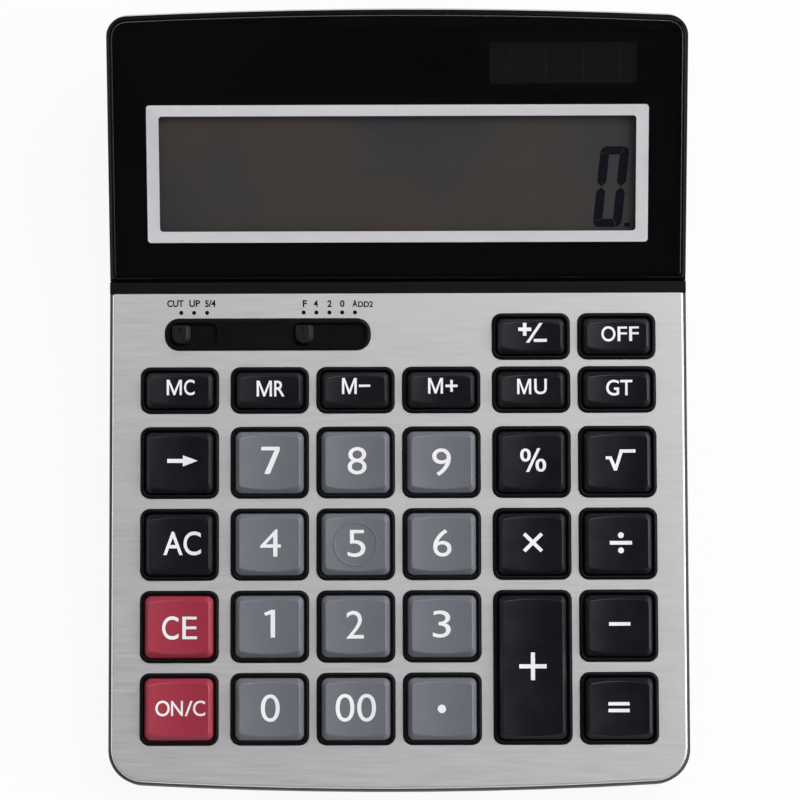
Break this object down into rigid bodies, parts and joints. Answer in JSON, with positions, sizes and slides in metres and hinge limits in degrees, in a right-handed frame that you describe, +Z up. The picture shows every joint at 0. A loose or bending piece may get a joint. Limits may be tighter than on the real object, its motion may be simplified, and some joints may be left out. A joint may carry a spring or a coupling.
{
  "type": "desktop calculator",
  "caption": "Solar and battery desktop calculator: sprung dished keys in raised collars over a brushed face plate, raised display head, slide switches, battery door.",
  "frame": {"origin": "centre of the footprint's bounding box, on the table", "axes": "+X to the user's right, +Y away from the user along the length, +Z up"},
  "size_m": [0.1554, 0.2076, 0.0436],
  "materials": {
    "grey_key": "fine satin moulded grey",
    "red_key": "fine satin moulded dark red",
    "black_key": "fine satin moulded black",
    "case_black": "fine matt black",
    "cover_black": "polished black",
    "face_aluminium": "brushed along its width, bevelled bright rim",
    "knob": "satin black",
    "silicone": "translucent pale grey silicone",
    "board": "green laminate",
    "steel": "zinc plated",
    "resin": "black potting resin",
    "capacitor": "dark blue sleeve",
    "lens_clear": "clear acrylic",
    "mask_black": "black print",
    "border_silver": "silver print",
    "display_glass": "dark grey-green liquid crystal",
    "holder": "natural white plastic",
    "film_orange": "amber film",
    "solar": "dark amorphous solar cell",
    "lead_grey": "soft grey sleeve",
    "contact_steel": "nickel plated spring steel",
    "cell_wrap": "printed metallic wrap",
    "rubber": "matt black"
  },
  "bodies": {
    "case": {"top_case": "case_black", "face_plate": "face_aluminium", "key_mat": "silicone", "main_board": "board", "board_screws": "steel", "chip_cap": "resin", "capacitors": "capacitor", "display_cover": "cover_black", "display_lens": "lens_clear", "lens_mask": "mask_black", "window_border": "border_silver", "lcd_panel": "display_glass", "lcd_holder": "holder", "holder_screws": "steel", "lcd_ribbon": "film_orange", "solar_cell": "solar", "solar_leads": "lead_grey", "bottom_case": "case_black", "battery_cell": "cell_wrap", "battery_contacts": "contact_steel", "battery_leads": "lead_grey", "rubber_feet": "rubber", "case_screws": "steel"},
    "battery_door": {"battery_door": "case_black"},
    "rounding_switch": {"rounding_knob": "knob", "rounding_wiper": "contact_steel"},
    "decimal_switch": {"decimal_knob": "knob", "decimal_wiper": "contact_steel"},
    "key_on": {"key_on": "red_key"},
    "key_0": {"key_0": "grey_key"},
    "key_00": {"key_00": "grey_key"},
    "key_point": {"key_point": "grey_key"},
    "key_equals": {"key_equals": "black_key"},
    "key_ce": {"key_ce": "red_key"},
    "key_1": {"key_1": "grey_key"},
    "key_2": {"key_2": "grey_key"},
    "key_3": {"key_3": "grey_key"},
    "key_minus": {"key_minus": "black_key"},
    "key_ac": {"key_ac": "black_key"},
    "key_4": {"key_4": "grey_key"},
    "key_5": {"key_5": "grey_key"},
    "key_6": {"key_6": "grey_key"},
    "key_times": {"key_times": "black_key"},
    "key_divide": {"key_divide": "black_key"},
    "key_back": {"key_back": "black_key"},
    "key_7": {"key_7": "grey_key"},
    "key_8": {"key_8": "grey_key"},
    "key_9": {"key_9": "grey_key"},
    "key_percent": {"key_percent": "black_key"},
    "key_root": {"key_root": "black_key"},
    "key_mc": {"key_mc": "black_key"},
    "key_mr": {"key_mr": "black_key"},
    "key_m_minus": {"key_m_minus": "black_key"},
    "key_m_plus": {"key_m_plus": "black_key"},
    "key_mu": {"key_mu": "black_key"},
    "key_gt": {"key_gt": "black_key"},
    "key_sign": {"key_sign": "black_key"},
    "key_off": {"key_off": "black_key"},
    "key_plus": {"key_plus": "black_key"}
  },
  "joints": [
    {"name": "battery_door_slide", "type": "slide", "parent": "case", "child": "battery_door", "axis": [0, 1, 0], "range_m": [0, 0.024]},
    {"name": "rounding_switch_slide", "type": "slide", "parent": "case", "child": "rounding_switch", "axis": [1, 0, 0], "range_m": [0, 0.00691]},
    {"name": "decimal_switch_slide", "type": "slide", "parent": "case", "child": "decimal_switch", "axis": [1, 0, 0], "range_m": [0, 0.01383]},
    {"name": "key_on_press", "type": "slide", "parent": "case", "child": "key_on", "axis": [0, 0.061, -0.9981], "range_m": [0, 0.0015], "stiffness_N_per_m": 300, "springref_m": -0.0005, "deforming": ["key_mat"]},
    {"name": "key_0_press", "type": "slide", "parent": "case", "child": "key_0", "axis": [0, 0.061, -0.9981], "range_m": [0, 0.0015], "stiffness_N_per_m": 300, "springref_m": -0.0005, "deforming": ["key_mat"]},
    {"name": "key_00_press", "type": "slide", "parent": "case", "child": "key_00", "axis": [0, 0.061, -0.9981], "range_m": [0, 0.0015], "stiffness_N_per_m": 300, "springref_m": -0.0005, "deforming": ["key_mat"]},
    {"name": "key_point_press", "type": "slide", "parent": "case", "child": "key_point", "axis": [0, 0.061, -0.9981], "range_m": [0, 0.0015], "stiffness_N_per_m": 300, "springref_m": -0.0005, "deforming": ["key_mat"]},
    {"name": "key_equals_press", "type": "slide", "parent": "case", "child": "key_equals", "axis": [0, 0.061, -0.9981], "range_m": [0, 0.0015], "stiffness_N_per_m": 300, "springref_m": -0.0005, "deforming": ["key_mat"]},
    {"name": "key_ce_press", "type": "slide", "parent": "case", "child": "key_ce", "axis": [0, 0.061, -0.9981], "range_m": [0, 0.0015], "stiffness_N_per_m": 300, "springref_m": -0.0005, "deforming": ["key_mat"]},
    {"name": "key_1_press", "type": "slide", "parent": "case", "child": "key_1", "axis": [0, 0.061, -0.9981], "range_m": [0, 0.0015], "stiffness_N_per_m": 300, "springref_m": -0.0005, "deforming": ["key_mat"]},
    {"name": "key_2_press", "type": "slide", "parent": "case", "child": "key_2", "axis": [0, 0.061, -0.9981], "range_m": [0, 0.0015], "stiffness_N_per_m": 300, "springref_m": -0.0005, "deforming": ["key_mat"]},
    {"name": "key_3_press", "type": "slide", "parent": "case", "child": "key_3", "axis": [0, 0.061, -0.9981], "range_m": [0, 0.0015], "stiffness_N_per_m": 300, "springref_m": -0.0005, "deforming": ["key_mat"]},
    {"name": "key_minus_press", "type": "slide", "parent": "case", "child": "key_minus", "axis": [0, 0.061, -0.9981], "range_m": [0, 0.0015], "stiffness_N_per_m": 300, "springref_m": -0.0005, "deforming": ["key_mat"]},
    {"name": "key_ac_press", "type": "slide", "parent": "case", "child": "key_ac", "axis": [0, 0.061, -0.9981], "range_m": [0, 0.0015], "stiffness_N_per_m": 300, "springref_m": -0.0005, "deforming": ["key_mat"]},
    {"name": "key_4_press", "type": "slide", "parent": "case", "child": "key_4", "axis": [0, 0.061, -0.9981], "range_m": [0, 0.0015], "stiffness_N_per_m": 300, "springref_m": -0.0005, "deforming": ["key_mat"]},
    {"name": "key_5_press", "type": "slide", "parent": "case", "child": "key_5", "axis": [0, 0.061, -0.9981], "range_m": [0, 0.0015], "stiffness_N_per_m": 300, "springref_m": -0.0005, "deforming": ["key_mat"]},
    {"name": "key_6_press", "type": "slide", "parent": "case", "child": "key_6", "axis": [0, 0.061, -0.9981], "range_m": [0, 0.0015], "stiffness_N_per_m": 300, "springref_m": -0.0005, "deforming": ["key_mat"]},
    {"name": "key_times_press", "type": "slide", "parent": "case", "child": "key_times", "axis": [0, 0.061, -0.9981], "range_m": [0, 0.0015], "stiffness_N_per_m": 300, "springref_m": -0.0005, "deforming": ["key_mat"]},
    {"name": "key_divide_press", "type": "slide", "parent": "case", "child": "key_divide", "axis": [0, 0.061, -0.9981], "range_m": [0, 0.0015], "stiffness_N_per_m": 300, "springref_m": -0.0005, "deforming": ["key_mat"]},
    {"name": "key_back_press", "type": "slide", "parent": "case", "child": "key_back", "axis": [0, 0.061, -0.9981], "range_m": [0, 0.0015], "stiffness_N_per_m": 300, "springref_m": -0.0005, "deforming": ["key_mat"]},
    {"name": "key_7_press", "type": "slide", "parent": "case", "child": "key_7", "axis": [0, 0.061, -0.9981], "range_m": [0, 0.0015], "stiffness_N_per_m": 300, "springref_m": -0.0005, "deforming": ["key_mat"]},
    {"name": "key_8_press", "type": "slide", "parent": "case", "child": "key_8", "axis": [0, 0.061, -0.9981], "range_m": [0, 0.0015], "stiffness_N_per_m": 300, "springref_m": -0.0005, "deforming": ["key_mat"]},
    {"name": "key_9_press", "type": "slide", "parent": "case", "child": "key_9", "axis": [0, 0.061, -0.9981], "range_m": [0, 0.0015], "stiffness_N_per_m": 300, "springref_m": -0.0005, "deforming": ["key_mat"]},
    {"name": "key_percent_press", "type": "slide", "parent": "case", "child": "key_percent", "axis": [0, 0.061, -0.9981], "range_m": [0, 0.0015], "stiffness_N_per_m": 300, "springref_m": -0.0005, "deforming": ["key_mat"]},
    {"name": "key_root_press", "type": "slide", "parent": "case", "child": "key_root", "axis": [0, 0.061, -0.9981], "range_m": [0, 0.0015], "stiffness_N_per_m": 300, "springref_m": -0.0005, "deforming": ["key_mat"]},
    {"name": "key_mc_press", "type": "slide", "parent": "case", "child": "key_mc", "axis": [0, 0.061, -0.9981], "range_m": [0, 0.0015], "stiffness_N_per_m": 300, "springref_m": -0.0005, "deforming": ["key_mat"]},
    {"name": "key_mr_press", "type": "slide", "parent": "case", "child": "key_mr", "axis": [0, 0.061, -0.9981], "range_m": [0, 0.0015], "stiffness_N_per_m": 300, "springref_m": -0.0005, "deforming": ["key_mat"]},
    {"name": "key_m_minus_press", "type": "slide", "parent": "case", "child": "key_m_minus", "axis": [0, 0.061, -0.9981], "range_m": [0, 0.0015], "stiffness_N_per_m": 300, "springref_m": -0.0005, "deforming": ["key_mat"]},
    {"name": "key_m_plus_press", "type": "slide", "parent": "case", "child": "key_m_plus", "axis": [0, 0.061, -0.9981], "range_m": [0, 0.0015], "stiffness_N_per_m": 300, "springref_m": -0.0005, "deforming": ["key_mat"]},
    {"name": "key_mu_press", "type": "slide", "parent": "case", "child": "key_mu", "axis": [0, 0.061, -0.9981], "range_m": [0, 0.0015], "stiffness_N_per_m": 300, "springref_m": -0.0005, "deforming": ["key_mat"]},
    {"name": "key_gt_press", "type": "slide", "parent": "case", "child": "key_gt", "axis": [0, 0.061, -0.9981], "range_m": [0, 0.0015], "stiffness_N_per_m": 300, "springref_m": -0.0005, "deforming": ["key_mat"]},
    {"name": "key_sign_press", "type": "slide", "parent": "case", "child": "key_sign", "axis": [0, 0.061, -0.9981], "range_m": [0, 0.0015], "stiffness_N_per_m": 300, "springref_m": -0.0005, "deforming": ["key_mat"]},
    {"name": "key_off_press", "type": "slide", "parent": "case", "child": "key_off", "axis": [0, 0.061, -0.9981], "range_m": [0, 0.0015], "stiffness_N_per_m": 300, "springref_m": -0.0005, "deforming": ["key_mat"]},
    {"name": "key_plus_press", "type": "slide", "parent": "case", "child": "key_plus", "axis": [0, 0.061, -0.9981], "range_m": [0, 0.0015], "stiffness_N_per_m": 300, "springref_m": -0.0005, "deforming": ["key_mat"]}
  ]
}
